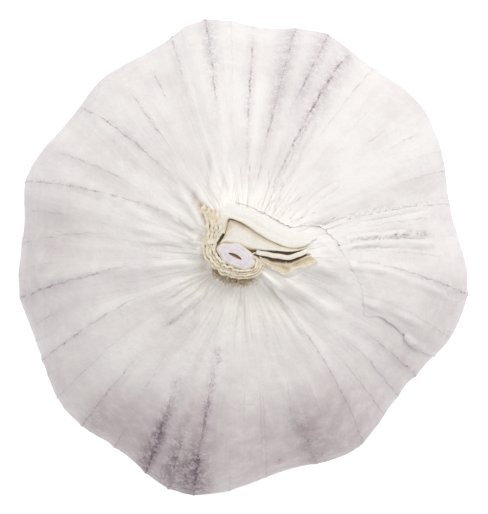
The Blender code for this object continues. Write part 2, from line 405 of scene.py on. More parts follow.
def dry_sheath():
    """Cut base of a dry leaf: cream film whose torn edge has browned. The cut edge is fibrous and dull."""
    material, node, shader = new_material("dry_leaf_base")
    in_mm = places_in_mm(node)
    # Fibres about 0.2 mm apart run up the leaf; stains are about 1 mm across.
    rows = ((places_in_mm(node, 0.18), 5.0, 3.0, 0.65), (in_mm, 1.1, 3.0, 0.6), (in_mm, 5.0, 3.0))
    fibres, stains, fine = several(node, NOISE, NOISE_INPUTS, rows)
    cream, edge, depth = [
        node("ShaderNodeAttribute", output="Fac", attribute_name=name) for name in ("cream", "edge", "depth")
    ]
    colour = paint(
        node,
        "#F3F0EC",
        ("#F1E4CB", cream),
        ("#DCCDB2", (fibres, 0.45, 0.7, 0.0, 0.22)),
        ("#D8C6A6", edge, (stains, 0.4, 0.65, 0.1, 0.9), 0.55),
        ("#8D7350", edge, (fine, 0.6, 0.74, 0.0, 0.7)),
        # Painted shade: brown darkening deep in the neck and in its gaps, by the depth mark, with some brown
        # of the dried leaf.
        ("#7A5C40", depth),
    )
    roughness, relief = total(node, 0.5, (fibres, 0.25)), total(node, fibres, (fine, 0.4))
    surface_of(node, shader, colour, roughness, relief, 0.06, 0.7)
    let_light_in(shader, 0.2, 0.5, (1.0, 0.8, 0.6))
    shader.inputs["IOR"].default_value = 1.45
    return material


def cut_core():
    """Knife-cut face of the rolled inner leaves: pale lilac-white and matt, with a slit coloured darker
    brown.
    """
    material, node, shader = new_material("cut_neck_core")
    (cells,) = several(node, NOISE, NOISE_INPUTS, [(places_in_mm(node), 4.0, 3.0, 0.6)])
    rim, slit = [node("ShaderNodeAttribute", output="Fac", attribute_name=name) for name in ("rim", "slit")]
    coats = ("#DCD4D5", (cells, 0.4, 0.65)), ("#E8DABF", rim), ("#A88C72", slit)
    surface_of(node, shader, paint(node, "#E8E2E4", *coats), 0.6, cells, 0.05, 0.5)
    let_light_in(shader, 0.25, 0.6, (1.0, 0.8, 0.7))
    return material


def root_cork():
    """Dried root base: corky and fibrous, so it is dull brown with darker pits and pale root ends."""
    material, node, shader = new_material("dry_root_cork")
    in_mm = places_in_mm(node)
    # Cork cells clump at about 1 mm, with pits of about 0.3 mm.
    clumps, pits = several(node, NOISE, NOISE_INPUTS, ((in_mm, 0.9, 4.0, 0.6), (in_mm, 3.5)))
    root_end = node("ShaderNodeAttribute", output="Fac", attribute_name="root_end")
    coats = ("#7E6547", (clumps, 0.35, 0.65)), ("#5A4430", (pits, 0.58, 0.7)), ("#C9B48F", root_end)
    surface_of(node, shader, paint(node, "#A58A66", *coats), 0.85, total(node, clumps, (pits, 0.5)), 0.3, 0.8)
    return material


# ---------------------------------------------------------------- the skin of the bulb

# (azimuth, half width, first and last polar angle, strength) of the purple-streaked patches.
PURPLE_PATCHES = (
    (244.6, 2.4, 56, 122, 0.95),
    (250.5, 2.4, 60, 122, 0.75),
    (256.0, 4.5, 63, 118, 1.0),
    (260, 2.6, 72, 110, 0.85),
    (228, 4.0, 70, 118, 0.35),
    (63, 4.0, 52, 100, 0.18),
    (70, 3.0, 54, 104, 0.22),
    (78, 3.0, 44, 112, 0.26),
    (99, 2.5, 58, 112, 0.24),
    (289, 4.0, 58, 116, 0.45),
    (190, 4.0, 78, 124, 0.25),
    (150, 8.0, 98, 140, 0.40),
    (22, 10.0, 100, 142, 0.40),
    (330, 9.0, 96, 138, 0.35),
)
# The same for the broad mauve tint, which is partly the skin's own colour and partly painted shade.
MAUVE_SHADE_PATCHES = (
    (214, 16, 74, 132, 0.5),
    (240, 20, 58, 128, 0.85),
    (256, 12, 46, 128, 0.75),
    (274, 22, 54, 128, 0.66),
    (296, 20, 54, 128, 0.85),
    (326, 16, 58, 124, 0.40),
    (186, 24, 58, 130, 0.34),
    (222, 9, 20, 40, 0.35),
    (348, 12, 60, 118, 0.35),
    (60, 40, 88, 140, 0.30),
    (135, 34, 84, 140, 0.30),
)
# Brown scurf on the skin round the neck, partly painted shade under the neck's overhang, as (x, y, half sizes
# in x and y, strength).
NECK_SCURF_SHADE = (
    (-0.9, -3.1, 2.0, 0.6, 1.0),
    (0.6, -3.0, 1.2, 0.7, 0.8),
    (-3.4, -2.2, 1.1, 0.7, 0.7),
    (-5.1, -0.4, 0.5, 1.5, 0.5),
    (-5.4, 2.4, 0.5, 0.7, 0.6),
    (-6.3, 7.4, 0.35, 0.9, 0.7),
    (-5.4, 6.4, 0.5, 0.7, 0.8),
)
# Over how many degrees of polar angle a patch fades, and how high on the bulb the scurf and painted shade
# begin.
PATCH_FADE = 12
SCURF_SHADE_FLOOR = 40
SKIN_RELIEF = {"Pucker Depth": 1.1, "Ripple Depth": 0.16, "Dent Depth": 0.32, "Swell": 0.16, "Seed": 3.0}
# The dome under the neck, as (share of the neck's outline, height above the body's top).
DOME_STEPS = ((0.94, 0.3), (0.86, 0.6), (0.76, 0.85), (0.64, 1.0), (0.5, 1.1), (0.34, 1.15), (0.18, 1.15))


def mark_tints(mesh):
    """Marks where a skin is purple, where it is mauve with painted shade, and where it has brown scurf with
    painted shade round the neck.
    """
    places = vertex_array(mesh)
    x, y, z = places.T
    polar = np.degrees(np.arctan2(np.hypot(x, y), z - HEART.z / MM))
    azimuth = np.degrees(np.arctan2(y, x))
    for name, patches in (("purple", PURPLE_PATCHES), ("mauve_shade", MAUVE_SHADE_PATCHES)):
        tint = np.zeros(len(places))
        for centre, half, first, last, strength in patches:
            off = (azimuth - centre + 180) % 360 - 180
            span = smoothstep(polar, first - PATCH_FADE, first + PATCH_FADE)
            span *= smoothstep(polar, last + PATCH_FADE, last - PATCH_FADE)
            tint = np.maximum(tint, strength * np.exp(-((off / half) ** 2)) * span)
        set_marks(mesh, **{name: tint})
    stain = np.zeros(len(places))
    for middle_x, middle_y, wide, high, strength in NECK_SCURF_SHADE:
        off = ((x - middle_x) / wide) ** 2 + ((y - middle_y) / high) ** 2
        stain = np.maximum(stain, strength * np.exp(-off) * (z > SCURF_SHADE_FLOOR))
    set_marks(mesh, stain=stain)


def relief_tree():
    """Puckers gathered round the neck, lengthwise ripples and soft dents, all along the surface normal."""
    names = ("Pucker Depth", "Ripple Depth", "Dent Depth", "Swell", "Seed")
    tree, node, given = new_tree("skin_relief", dict.fromkeys(names, "Float"))
    in_mm = node(VECTOR, {0: node(PLACE), 3: 1000.0}, operation="SCALE")
    distance, around, height = about_axis(node, in_mm)
    x, y, _ = node(SPLIT, (around,)).node.outputs
    slope = node(MATH, (height, distance), operation="SUBTRACT")

    def ring(radius, drift):
        """Coordinates that go round a ring, and drift slowly with the place down the skin."""
        return node(JOIN, (product(node, x, radius), product(node, y, radius), product(node, slope, drift)))

    above_floor = (height, 3.0, 9.0)
    push = product(node, given["Swell"], above_floor)
    for title, where, scale, detail, *limits in (
        ("Pucker Depth", ring(5.5, 0.09), 1.0, 2.5, (distance, 16.0, 8.0), (height, 33.0, 38.0)),
        ("Ripple Depth", ring(11.0, 0.035), 1.0, 2.0, above_floor),
        ("Dent Depth", in_mm, 0.085, 1.0, above_floor),
    ):
        inputs = {"Vector": where, "W": given["Seed"], "Scale": scale, "Detail": detail}
        waves = total(node, -1.0, (node(NOISE, inputs, noise_dimensions="4D"), 2.0))
        push = node(MATH, (push, product(node, waves, given[title], *limits)))
    push_out(node, given, product(node, push, MM))
    return tree


def shape_shoulder(bm):
    """Swaps the flat end of the neck for a low dome, which the leaf bases stand on."""
    cap = [f for f in bm.faces if all(v.co.z > BODY_TOP - 0.05 * MM for v in f.verts)]
    rim = [e for e in bm.edges if sum(f in cap for f in e.link_faces) == 1]
    bmesh.ops.delete(bm, geom=cap, context="FACES")
    middle = sum((e.verts[0].co for e in rim), Vector()) / len(rim)
    last_share = 1.0
    for share, level in DOME_STEPS:
        grown = bmesh.ops.extrude_edge_only(bm, edges=rim)["geom"]
        rim = [g for g in grown if isinstance(g, bmesh.types.BMEdge)]
        for v in {v for e in rim for v in e.verts}:
            v.co.x = middle.x + (v.co.x - middle.x) * share / last_share
            v.co.y = middle.y + (v.co.y - middle.y) * share / last_share
            v.co.z = BODY_TOP + level * MM
        last_share = share
    bmesh.ops.contextual_create(bm, geom=rim)


def make_bulb_skin(material):
    bm = bmesh.new()
    bm.from_mesh(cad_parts["bulb_body"].data)
    bmesh.ops.remove_doubles(bm, verts=bm.verts, dist=0.001 * MM)
    limits = {"angle_face_threshold": radians(40), "angle_shape_threshold": radians(60)}
    bmesh.ops.join_triangles(bm, faces=bm.faces, **limits)
    shape_shoulder(bm)
    mesh = bpy.data.meshes.new("bulb_skin")
    bm.to_mesh(mesh)
    bm.free()
    skin = new_object("bulb_skin", mesh)
    subdivide(skin, 2)
    return run_tree(skin, relief_tree(), {"Material": material} | SKIN_RELIEF)


class Surface:
    """A skin that can be met by a ray from the bulb's heart, and the one under it where it has a gap."""

    def __init__(self, obj, under=None):
        bpy.context.view_layer.update()
        self.tree = BVHTree.FromObject(obj, bpy.context.evaluated_depsgraph_get())
        self.under = under

    def meet(self, azimuth, polar):
        a, p = radians(azimuth), radians(polar)
        out = Vector((sin(p) * cos(a), sin(p) * sin(a), cos(p)))
        return self.tree.ray_cast(HEART + out * 2 * GIRTH * MM, -out)

    def covers(self, azimuth, polar):
        return self.meet(azimuth, polar)[0] is not None

    def at(self, azimuth, polar):
        """The outermost place and outward normal in a direction, in millimetres."""
        place, normal, _, _ = self.meet(azimuth, polar)
        if place is None:
            return self.under.at(azimuth, polar)
        return np.array(place) / MM, np.array(normal)

    def polar_at(self, azimuth, distance):
        """The polar angle on the upper half where the skin is that far from the axis."""
        low, high = 14.0, 88.0
        for _ in range(22):
            middle = (low + high) / 2
            place, _ = self.at(azimuth, middle)
            if hypot(place[0], place[1]) < distance:
                low = middle
            else:
                high = middle
        return (low + high) / 2


# ---------------------------------------------------------------- the torn outer leaf

# Its torn upper edge, as (azimuth, distance from the axis), and its side edges, as (polar angle, azimuth).
TORN_TOP = (
    (-26, 17.3),
    (-20, 16.5),
    (-13, 15.4),
    (-6.5, 14.0),
    (1.7, 12.7),
    (10, 11.8),
    (17, 11.0),
    (22, 10.3),
    (25.5, 9.3),
    (28, 8.1),
    (31, 7.1),
    (37, 6.5),
    (53, 6.1),
    (72, 6.05),
    (85, 6.4),
    (96, 6.8),
    (107, 7.6),
)
TEAR_SIDE = (
    (40, -27), (46, -26), (50, -23.2), (55, -24.2), (63, -26.0), (70, -28.3),
    (96, -27.5), (110, -30), (125, -27),
)
FAR_SIDE = ((15, 107.0), (50, 107.6), (80, 107.2), (100, 108.0), (125, 106.0))
LEAF_FOOT = 121
LEAF_COLUMNS = 300
LEAF_ROWS = 130
# The leaf lies just off the skin. It thins out near its edges, where parts of it curl up.
LEAF_GAP = 0.06
LEAF_THICKNESS = 0.16
LEAF_CURL = 0.16
# Millimetres to a degree of polar angle.
PER_DEGREE = 0.45


def make_torn_leaf(skin):
    """The outermost leaf: one thin sheet laid over the skin, thinning out to torn and lifted edges."""
    top = np.array(TORN_TOP)
    tear, far = np.array(TEAR_SIDE), np.array(FAR_SIDE)
    points = np.zeros((LEAF_ROWS + 1, LEAF_COLUMNS + 1, 3))
    fullness = np.zeros((LEAF_ROWS + 1, LEAF_COLUMNS + 1))
    for c in range(LEAF_COLUMNS + 1):
        across = c / LEAF_COLUMNS
        start = top[0, 0] + across * (top[-1, 0] - top[0, 0])
        reach = np.interp(start, top[:, 0], top[:, 1])
        reach += 0.18 * grain(start * 0.35, 3) + 0.12 * grain(start * 1.3, 7)
        polar_top = skin.polar_at(start, reach)
        foot = LEAF_FOOT + 2.5 * grain(across * 14, 21) + 1.2 * grain(across * 50, 5)
        for r in range(LEAF_ROWS + 1):
            down = (r / LEAF_ROWS) ** 1.25
            polar = polar_top + (foot - polar_top) * down
            left = np.interp(polar, far[:, 0], far[:, 1])
            left = left + 0.35 * grain(polar * 0.5, 11) + 0.2 * grain(polar * 2.1, 2)
            right = np.interp(polar, tear[:, 0], tear[:, 1])
            right = right + 0.5 * grain(polar * 0.45, 17) + 0.35 * grain(polar * 1.9, 9)
            azimuth = start + (right + across * (left - right) - start) * smoothstep(down, 0.0, 0.1)
            place, normal = skin.at(azimuth, polar)
            girth = hypot(place[0], place[1]) * radians(135)
            near_tear, near_far = across * girth, (1 - across) * girth
            from_ends = min(polar - polar_top, foot - polar) * PER_DEGREE
            from_edge = min(from_ends, near_tear, near_far)
            full = float(smoothstep(from_edge, 0.0, 2.2))
            # It still clings along its upper right edge and its far side, where it runs into the skin.
            cling = float(smoothstep(start, 9, 1) * smoothstep(polar - polar_top, 9, 4))
            sink = 0.13 * max(0.6 * cling * (1 - full), float(smoothstep(near_far, 1.6, 0.2)))
            curl = LEAF_CURL * (1 - float(smoothstep(from_edge, 0.0, 1.1)))
            curl *= max(0.5 + grain(azimuth * 0.25, polar * 0.12, 4), 0) * (1.0 - 0.85 * cling)
            lift = smoothstep(near_tear, 3.0, 0.5) - smoothstep(near_far, 9.0, 4.0)
            curl *= 1.0 + 0.9 * float(lift)
            fullness[r, c] = full
            points[r, c] = place + normal * (LEAF_GAP + 0.12 * full + curl - sink)
    leaf = grid_object("torn_leaf", points)
    thicken(leaf, LEAF_THICKNESS, 1.0, fullness.ravel(), 0.3)
    return applied(face_outwards(leaf))


# ---------------------------------------------------------------- raised veins

# (azimuth at the outline, azimuth nearer the neck, distance at the inner end, and at the outer end or None
# where the vein runs on under the bulb, strength).
LEAF_VEINS = (
    (99.0, 100.3, 17.0, None, 0.9),
    (93.1, 93.8, 20.0, None, 0.35),
    (87.4, 88.3, 11.5, 29.0, 0.8),
    (77.2, 79.4, 10.5, None, 0.75),
    (69.3, 73.0, 17.5, None, 0.9),
    (62.6, 67.5, 9.5, 30.0, 1.0),
    (55.5, 58.3, 15.0, None, 0.4),
    (49.4, 49.8, 21.0, 25.0, 0.4),
    (41.5, 42.8, 21.0, 25.0, 0.35),
    (34.9, 36.5, 23.0, 28.5, 0.5),
    (28.3, 30.7, 23.0, None, 0.3),
    (23.1, 25.3, 21.5, None, 0.45),
    (14.3, 19.5, 14.5, None, 0.5),
    (11.7, 14.0, 16.0, 25.0, 0.35),
    (7.0, 8.8, 13.4, 25.0, 0.42),
    (0.0, 3.6, 14.2, 26.0, 0.35),
    (-9.2, -1.5, 14.8, None, 0.75),
    (-21.5, -17.6, 20.0, None, 0.5),
)
BODY_VEINS = (
    (-34.6, -31.5, 17.5, None, 0.95),
    (-42.0, -38.0, 15.5, None, 0.6),
    (-48.3, -46.0, 17.0, None, 0.6),
    (-57.5, -48.6, 7.5, None, 0.7),
    (-63.4, -63.3, 18.0, 24.0, 0.25),
    (-70.6, -71.0, 22.5, None, 0.7),
    (-73.5, -69.8, 15.0, 22.0, 0.25),
    (-84.0, -81.7, 16.0, None, 0.35),
    (274.6, 277.0, 17.0, 28.0, 0.25),
    (280.2, 280.0, 26.9, 27.5, 1.2),
    (270.4, 270.4, 16.5, 20.5, 0.3),
    (266.5, 266.0, 23.0, None, 0.25),
    (257.7, 255.4, 12.5, None, 1.45),
    (251.8, 250.9, 20.5, None, 1.3),
    (245.4, 242.0, 17.0, None, 1.2),
    (235.8, 235.1, 25.5, None, 1.0),
    (233.5, 231.0, 15.0, 22.0, 0.3),
    (226.0, 222.9, 16.5, None, 0.8),
    (222.0, 221.5, 8.0, 13.5, 0.5),
    (216.8, 212.0, 15.0, None, 0.55),
    (209.0, 208.0, 8.5, 10.7, 0.4),
    (207.0, 199.8, 11.5, None, 0.75),
    (198.2, 195.3, 22.0, 29.0, 0.5),
    (190.2, 184.0, 12.5, None, 0.85),
    (182.7, 181.5, 24.0, 28.0, 0.3),
    (176.7, 169.0, 15.5, None, 0.45),
    (168.1, 166.4, 23.0, 29.0, 0.45),
    (160.3, 149.5, 9.5, None, 0.85),
    (150.6, 146.7, 17.5, 28.0, 0.6),
    (138.0, 131.0, 13.0, 29.5, 0.75),
    (124.4, 123.9, 16.5, 26.0, 0.6),
    (115.9, 115.9, 22.5, 27.0, 0.5),
    (108.2, 108.9, 21.0, None, 0.8),
)
# Folds and creases as ((x, y), ...) seen from above, height and half width. A negative height is a groove.
SKIN_FOLDS = (
    (((-8.4, 9.9), (-7.2, 8.4), (-5.6, 6.3)), -0.34, 0.42),
    (((-9.0, 9.0), (-7.6, 7.4), (-6.0, 5.4)), 0.25, 0.6),
    (((2.2, -2.6), (3.2, -3.6), (4.1, -5.2), (5.6, -8.0)), -0.3, 0.4),
    (((3.1, -2.7), (4.4, -4.3), (5.6, -6.2), (7.4, -9.4)), 0.26, 0.55),
    (((-4.6, -3.4), (-5.6, -5.0), (-7.4, -7.6), (-10.4, -9.2)), -0.3, 0.7),
    (((-3.8, -4.0), (-4.7, -5.8), (-6.1, -8.6)), 0.24, 0.6),
    (((-6.4, -1.8), (-8.8, -3.4), (-11.2, -5.4)), 0.26, 0.6),
    (((-5.9, -2.9), (-8.3, -4.8), (-9.9, -6.0)), -0.22, 0.45),
    (((-6.6, 2.2), (-9.6, 2.9), (-14.0, 3.6)), 0.2, 0.6),
    (((-6.6, 1.2), (-9.8, 1.3), (-13.0, 1.2)), -0.2, 0.5),
    (((-6.8, -0.4), (-9.4, -1.0), (-12.6, -1.6)), 0.22, 0.6),
    (((-6.6, 4.0), (-9.6, 5.6), (-13.0, 7.2)), 0.24, 0.7),
    (((-2.0, -4.8), (-2.4, -7.2), (-3.2, -10.4)), 0.2, 0.6),
    (((-0.3, -4.8), (-0.2, -7.4), (-0.5, -10.0)), -0.2, 0.5),
    (((0.9, -4.6), (1.4, -7.0), (1.9, -10.6)), 0.2, 0.6),
    (((6.2, -3.4), (8.4, -5.2), (11.4, -7.4)), 0.26, 0.7),
    (((7.6, -3.0), (10.0, -4.4), (13.0, -6.4)), -0.2, 0.5),
    (((9.8, -1.2), (12.0, -2.2), (14.2, -3.6)), 0.22, 0.5),
    (((10.6, 0.4), (11.8, 0.2), (13.0, -0.5)), -0.16, 0.4),
    (((-4.4, 8.6), (-4.0, 10.8), (-4.2, 13.4)), 0.24, 0.6),
    (((-3.2, 8.4), (-2.8, 10.6)), -0.2, 0.4),
    (((5.0, -13.6), (5.8, -17.4), (7.4, -22.0)), 0.2, 0.8),
    (((-14.0, 5.6), (-18.4, 8.2), (-23.6, 10.2)), 0.24, 0.9),
    (((-14.2, -1.4), (-20.4, -2.0), (-27.0, -3.4)), 0.2, 0.9),
    (((-12.4, -4.6), (-18.0, -7.2), (-24.6, -11.4)), 0.18, 0.9),
    (((-13.4, 12.4), (-17.0, 16.0), (-20.4, 19.4)), 0.2, 0.9),
)
LEAF_FOLDS = (
    (((11.8, 1.6), (15.0, 2.4), (19.0, 2.8), (24.6, 3.0)), -0.3, 0.6),
    (((12.4, 0.9), (15.6, 1.5), (19.4, 1.8), (25.4, 1.6)), 0.34, 0.6),
    (((11.4, 3.8), (15.0, 5.0), (19.6, 6.0), (25.0, 7.0)), -0.22, 0.7),
    (((11.0, 5.0), (15.2, 6.6), (20.0, 7.8)), 0.2, 0.7),
    (((13.8, -1.2), (18.6, -1.9), (22.6, -3.3), (27.4, -5.4)), 0.22, 0.5),
    (((16.4, -6.2), (20.0, -7.4), (24.4, -9.4)), 0.24, 0.5),
    (((17.6, -8.4), (21.0, -10.4), (24.4, -12.6)), 0.3, 0.45),
    (((6.8, 5.0), (9.4, 7.4), (12.4, 9.6)), -0.18, 0.5),
    (((2.6, 7.0), (4.6, 11.4), (7.0, 16.6)), 0.2, 0.6),
    (((3.7, 6.7), (6.0, 11.0), (9.4, 17.8)), -0.2, 0.5),
    (((0.4, 7.6), (0.6, 11.0), (1.4, 15.6)), 0.2, 0.6),
    (((-1.6, 8.0), (-1.6, 10.6), (-1.4, 13.8)), 0.2, 0.5),
)
# Distance from the axis where a vein goes over the bulb's outline.
OUTLINE_REACH = 29.3
VEIN_SWELLING = 0.17
# How far the purple grains beside a vein reach.
HALO = 0.6


def lay_lines(name, surface, routes):
    """Polylines on a skin. Each route is a list of (azimuth, polar angle), with its strength, height and half
    width, which become marks of its points. A route breaks off where the skin ends."""
    places, edges, marks = [], [], []
    for route, strength, height, half in routes:
        steps = smooth_curve(route, max(12 * len(route), 20))
        joined = False
        growth = 0.68 + 0.32 * smoothstep(np.linspace(0, 1, len(steps)), 0.0, 0.45)
        for (azimuth, polar), grown in zip(steps, growth):
            if not surface.covers(azimuth, polar):
                joined = False
                continue
            if joined:
                edges.append((len(places) - 1, len(places)))
            joined = True
            places.append(surface.at(azimuth, polar)[0])
            marks.append((strength * grown, height * MM, half * MM))
    lines = mesh_object(name, places, edges)
    set_marks(lines.data, **dict(zip(("strength", "height", "half_width"), np.array(marks).T)))
    return lines


def fold_routes(surface, folds):
    """Fold lines given from above, as routes over the skin. Grooves hold a little purple."""
    routes = []
    for line, height, half in folds:
        route = []
        for x, y in line:
            azimuth = degrees(atan2(y, x))
            if route and abs(azimuth - route[-1][0]) > 180:
                azimuth += 360 if azimuth < route[-1][0] else -360
            route.append((azimuth, surface.polar_at(azimuth, 0.96 * hypot(x, y))))
        routes.append((route, 0.36 if height < 0 else 0.0, 1.6 * height, half))
    return routes


def vein_routes(surface, veins, extra, seed):
    """Veins as routes over the skin, each on a slight swelling, and a few faint ones low on the sides."""
    rng = np.random.default_rng(seed)
    routes = []
    for outer, inner, near, reach, strength in veins:
        last = surface.polar_at(outer, reach or OUTLINE_REACH)
        ends = [(inner, surface.polar_at(inner, near)), (outer, last)]
        if not reach:
            ends.append((outer + rng.uniform(-1, 1), rng.uniform(118, 138)))
        routes.append((ends, strength, VEIN_SWELLING * min(strength, 1), 0.6))
    for azimuth in extra:
        ends = ((azimuth, rng.uniform(70, 96)), (azimuth + rng.uniform(-2, 2), rng.uniform(122, 146)))
        routes.append((ends, rng.uniform(0.25, 0.6), 0.04, 0.5))
    return routes


def press_tree():
    """Raises or lowers a skin along lines laid on it, each with its own height and width."""
    tree, node, given = new_tree("pressed_folds", {"Lines": "Object", "Roughness": "Float"})
    lines = {"Object": given["Lines"]}
    lines = node("GeometryNodeObjectInfo", lines, output="Geometry", transform_space="RELATIVE")
    away = node("GeometryNodeProximity", (lines,), output="Distance", target_element="EDGES")
    index = node("GeometryNodeSampleNearest", {"Geometry": lines}, domain="POINT")
    sampled = []
    for name in ("height", "half_width"):
        mark = node("GeometryNodeInputNamedAttribute", {"Name": name}, data_type="FLOAT")
        inputs = {"Geometry": lines, "Value": mark, "Index": index}
        sampled.append(node("GeometryNodeSampleIndex", inputs, data_type="FLOAT", domain="POINT"))
    height, half_width = sampled
    uneven = node(NOISE, {"Vector": node(PLACE), "Scale": 380.0, "Detail": 1.0})
    rise = node(RANGE, (uneven, 0.3, 0.65, given["Roughness"], 1.2))
    near = (away, product(node, half_width, 1.7), 0.0)
    push_out(node, given, product(node, near, rise, height))
    return tree


def vein_tree():
    """Lays guide lines on a skin as low ribs that wander, thin out and break up along their length."""
    sizes = dict.fromkeys(("Half Width", "Sink", "Wander", "Spacing", "Seed"), "Float")
    tree, node, given = new_tree("raised_veins", {"Skin": "Object"} | sizes)
    curve = node("GeometryNodeMeshToCurve", (given["Geometry"],))
    even = node("GeometryNodeResampleCurve", {"Curve": curve, "Length": given["Spacing"]}, mode="LENGTH")
    inputs = {"Vector": node(PLACE), "W": given["Seed"], "Detail": 3.0}
    drift = node(NOISE, inputs | {"Scale": 650.0}, output="Color", noise_dimensions="4D")
    centred = node(VECTOR, (drift, (0.5, 0.5, 0.5)), operation="SUBTRACT")
    wander = node(VECTOR, {0: centred, 3: given["Wander"]}, operation="SCALE")
    strayed = node(MOVE, {"Geometry": even, "Offset": wander})

    breaks = node(NOISE, inputs | {"Scale": 700.0}, noise_dimensions="4D")
    broken = node(RANGE, (breaks, 0.36, 0.64, 0.25, 1.3))
    along = node("GeometryNodeSplineParameter", output="Factor")
    left = node(MATH, (1.0, along), operation="SUBTRACT")
    from_end = node(MATH, (along, left), operation="MINIMUM")
    ends = node(MATH, (from_end, 7.0), operation="MULTIPLY", use_clamp=True)
    strength = node("GeometryNodeInputNamedAttribute", {"Name": "strength"}, data_type="FLOAT")
    force = product(node, strength, ends, broken)
    store = {"Geometry": strayed, "Name": "vein", "Value": force}
    marked = node("GeometryNodeStoreNamedAttribute", store, data_type="FLOAT", domain="POINT")

    skin = {"Object": given["Skin"]}
    skin = node("GeometryNodeObjectInfo", skin, output="Geometry", transform_space="RELATIVE")
    near = node("GeometryNodeProximity", (skin,), output="Position", target_element="FACES")
    inputs = {"Mesh": skin, "Value": node("GeometryNodeInputNormal")}
    facing = node("GeometryNodeSampleNearestSurface", inputs, data_type="FLOAT_VECTOR")
    thick = product(node, node(MATH, (force,), operation="SQRT"), given["Half Width"])
    sunk = node(VECTOR, {0: facing, 3: product(node, thick, given["Sink"])}, operation="SCALE")
    lowered = node(VECTOR, (near, sunk), operation="SUBTRACT")
    laid = node(MOVE, {"Geometry": marked, "Position": lowered})
    section = node("GeometryNodeCurvePrimitiveCircle", {"Resolution": 7, "Radius": 1.0}, mode="RADIUS")
    swept = {"Curve": laid, "Profile Curve": section, "Scale": thick, "Fill Caps": True}
    ribs = node("GeometryNodeCurveToMesh", swept)
    close_tree(node, node("GeometryNodeSetShadeSmooth", {"Geometry": ribs}), given)
    return tree


def press(skin, tree, material, surface, routes):
    """Presses routes into a skin and gives it its tints."""
    lines = lay_lines("fold_lines", surface, routes)
    run_tree(skin, tree, {"Lines": lines, "Roughness": 0.25, "Material": material})
    strengths = np.empty(len(lines.data.vertices), np.float32)
    lines.data.attributes["strength"].data.foreach_get("value", strengths)
    nearest = KDTree(len(strengths))
    for i, vertex in enumerate(lines.data.vertices):
        nearest.insert(vertex.co, i)
    nearest.balance()
    halo = []
    for vertex in skin.data.vertices:
        _, i, away = nearest.find(vertex.co)
        halo.append(strengths[i] ** 3 * np.exp(-((away / (HALO * MM)) ** 2)))
    bpy.data.objects.remove(lines)
    mark_tints(skin.data)
    set_marks(skin.data, halo=halo)


def make_veins(name, skin, surface, routes, seed, tree, material):
    ribs = lay_lines(name, surface, routes)
    values = {"Skin": skin, "Material": material, "Half Width": 0.17 * MM, "Sink": 0.5}
    values |= {"Wander": 0.7 * MM, "Spacing": 0.24 * MM, "Seed": float(seed)}
    run_tree(ribs, tree, values)
    mark_tints(ribs.data)
    finished(ribs, material, "papery_skin")


# ---------------------------------------------------------------- the cut neck

# Plans of the neck are drawn as they look from above, which is a little larger than they are.
NECK_SCALE = 0.95
# The leaf bases lean out from this line up the neck. Plan routes are (x, y, height of the cut edge).
NECK_AXIS = (0.6, 0.6)
NECK_FLOOR = NECK_TOP + 0.2

INNER_RING = (
    (-3.6, 5.8, 46.9), (-3.25, 4.6, 47.3), (-3.05, 3.4, 47.4), (-3.55, 2.3, 47.4), (-3.95, 1.2, 47.4),
    (-3.7, 0.2, 47.3), (-2.75, -0.85, 47.3), (-1.4, -1.65, 47.3), (0.1, -1.9, 47.3), (1.2, -1.75, 47.3),
    (1.75, -1.2, 47.4), (1.7, -0.45, 47.4), (1.35, 0.2, 47.3),
)
OUTER_RING = (
    (-5.5, 6.7, 46.3), (-4.9, 5.2, 46.7), (-4.7, 3.9, 46.9), (-4.8, 2.6, 46.9), (-5.3, 1.3, 46.8),
    (-5.05, 0.0, 46.8), (-4.0, -1.35, 46.7), (-2.4, -2.4, 46.7), (-0.4, -2.85, 46.7), (1.3, -2.7, 46.8),
    (2.35, -2.0, 46.9), (2.55, -1.1, 46.9), (2.0, -0.2, 46.9),
)
# (name, cream, height above its route, and its CAD node if it has one), from the core outwards
RING_LAYERS = (
    ("core_wrap", 0.55, 0.08, "inner_sheath"),
    ("second_wrap", 0.8, -0.05),
    ("third_wrap", 0.65, 0.1),
    ("outer_wrap", 0.9, 0.0, "outer_sheath"),
)
MIDDLE_BAND = (
    (1.7, 0.62, 46.9), (2.6, 0.42, 47.15), (3.6, 0.18, 47.3), (4.8, 0.02, 47.35), (6.2, -0.1, 47.3),
    (7.2, 0.14, 47.2), (8.1, 0.55, 46.9), (8.8, 0.95, 46.4),
)
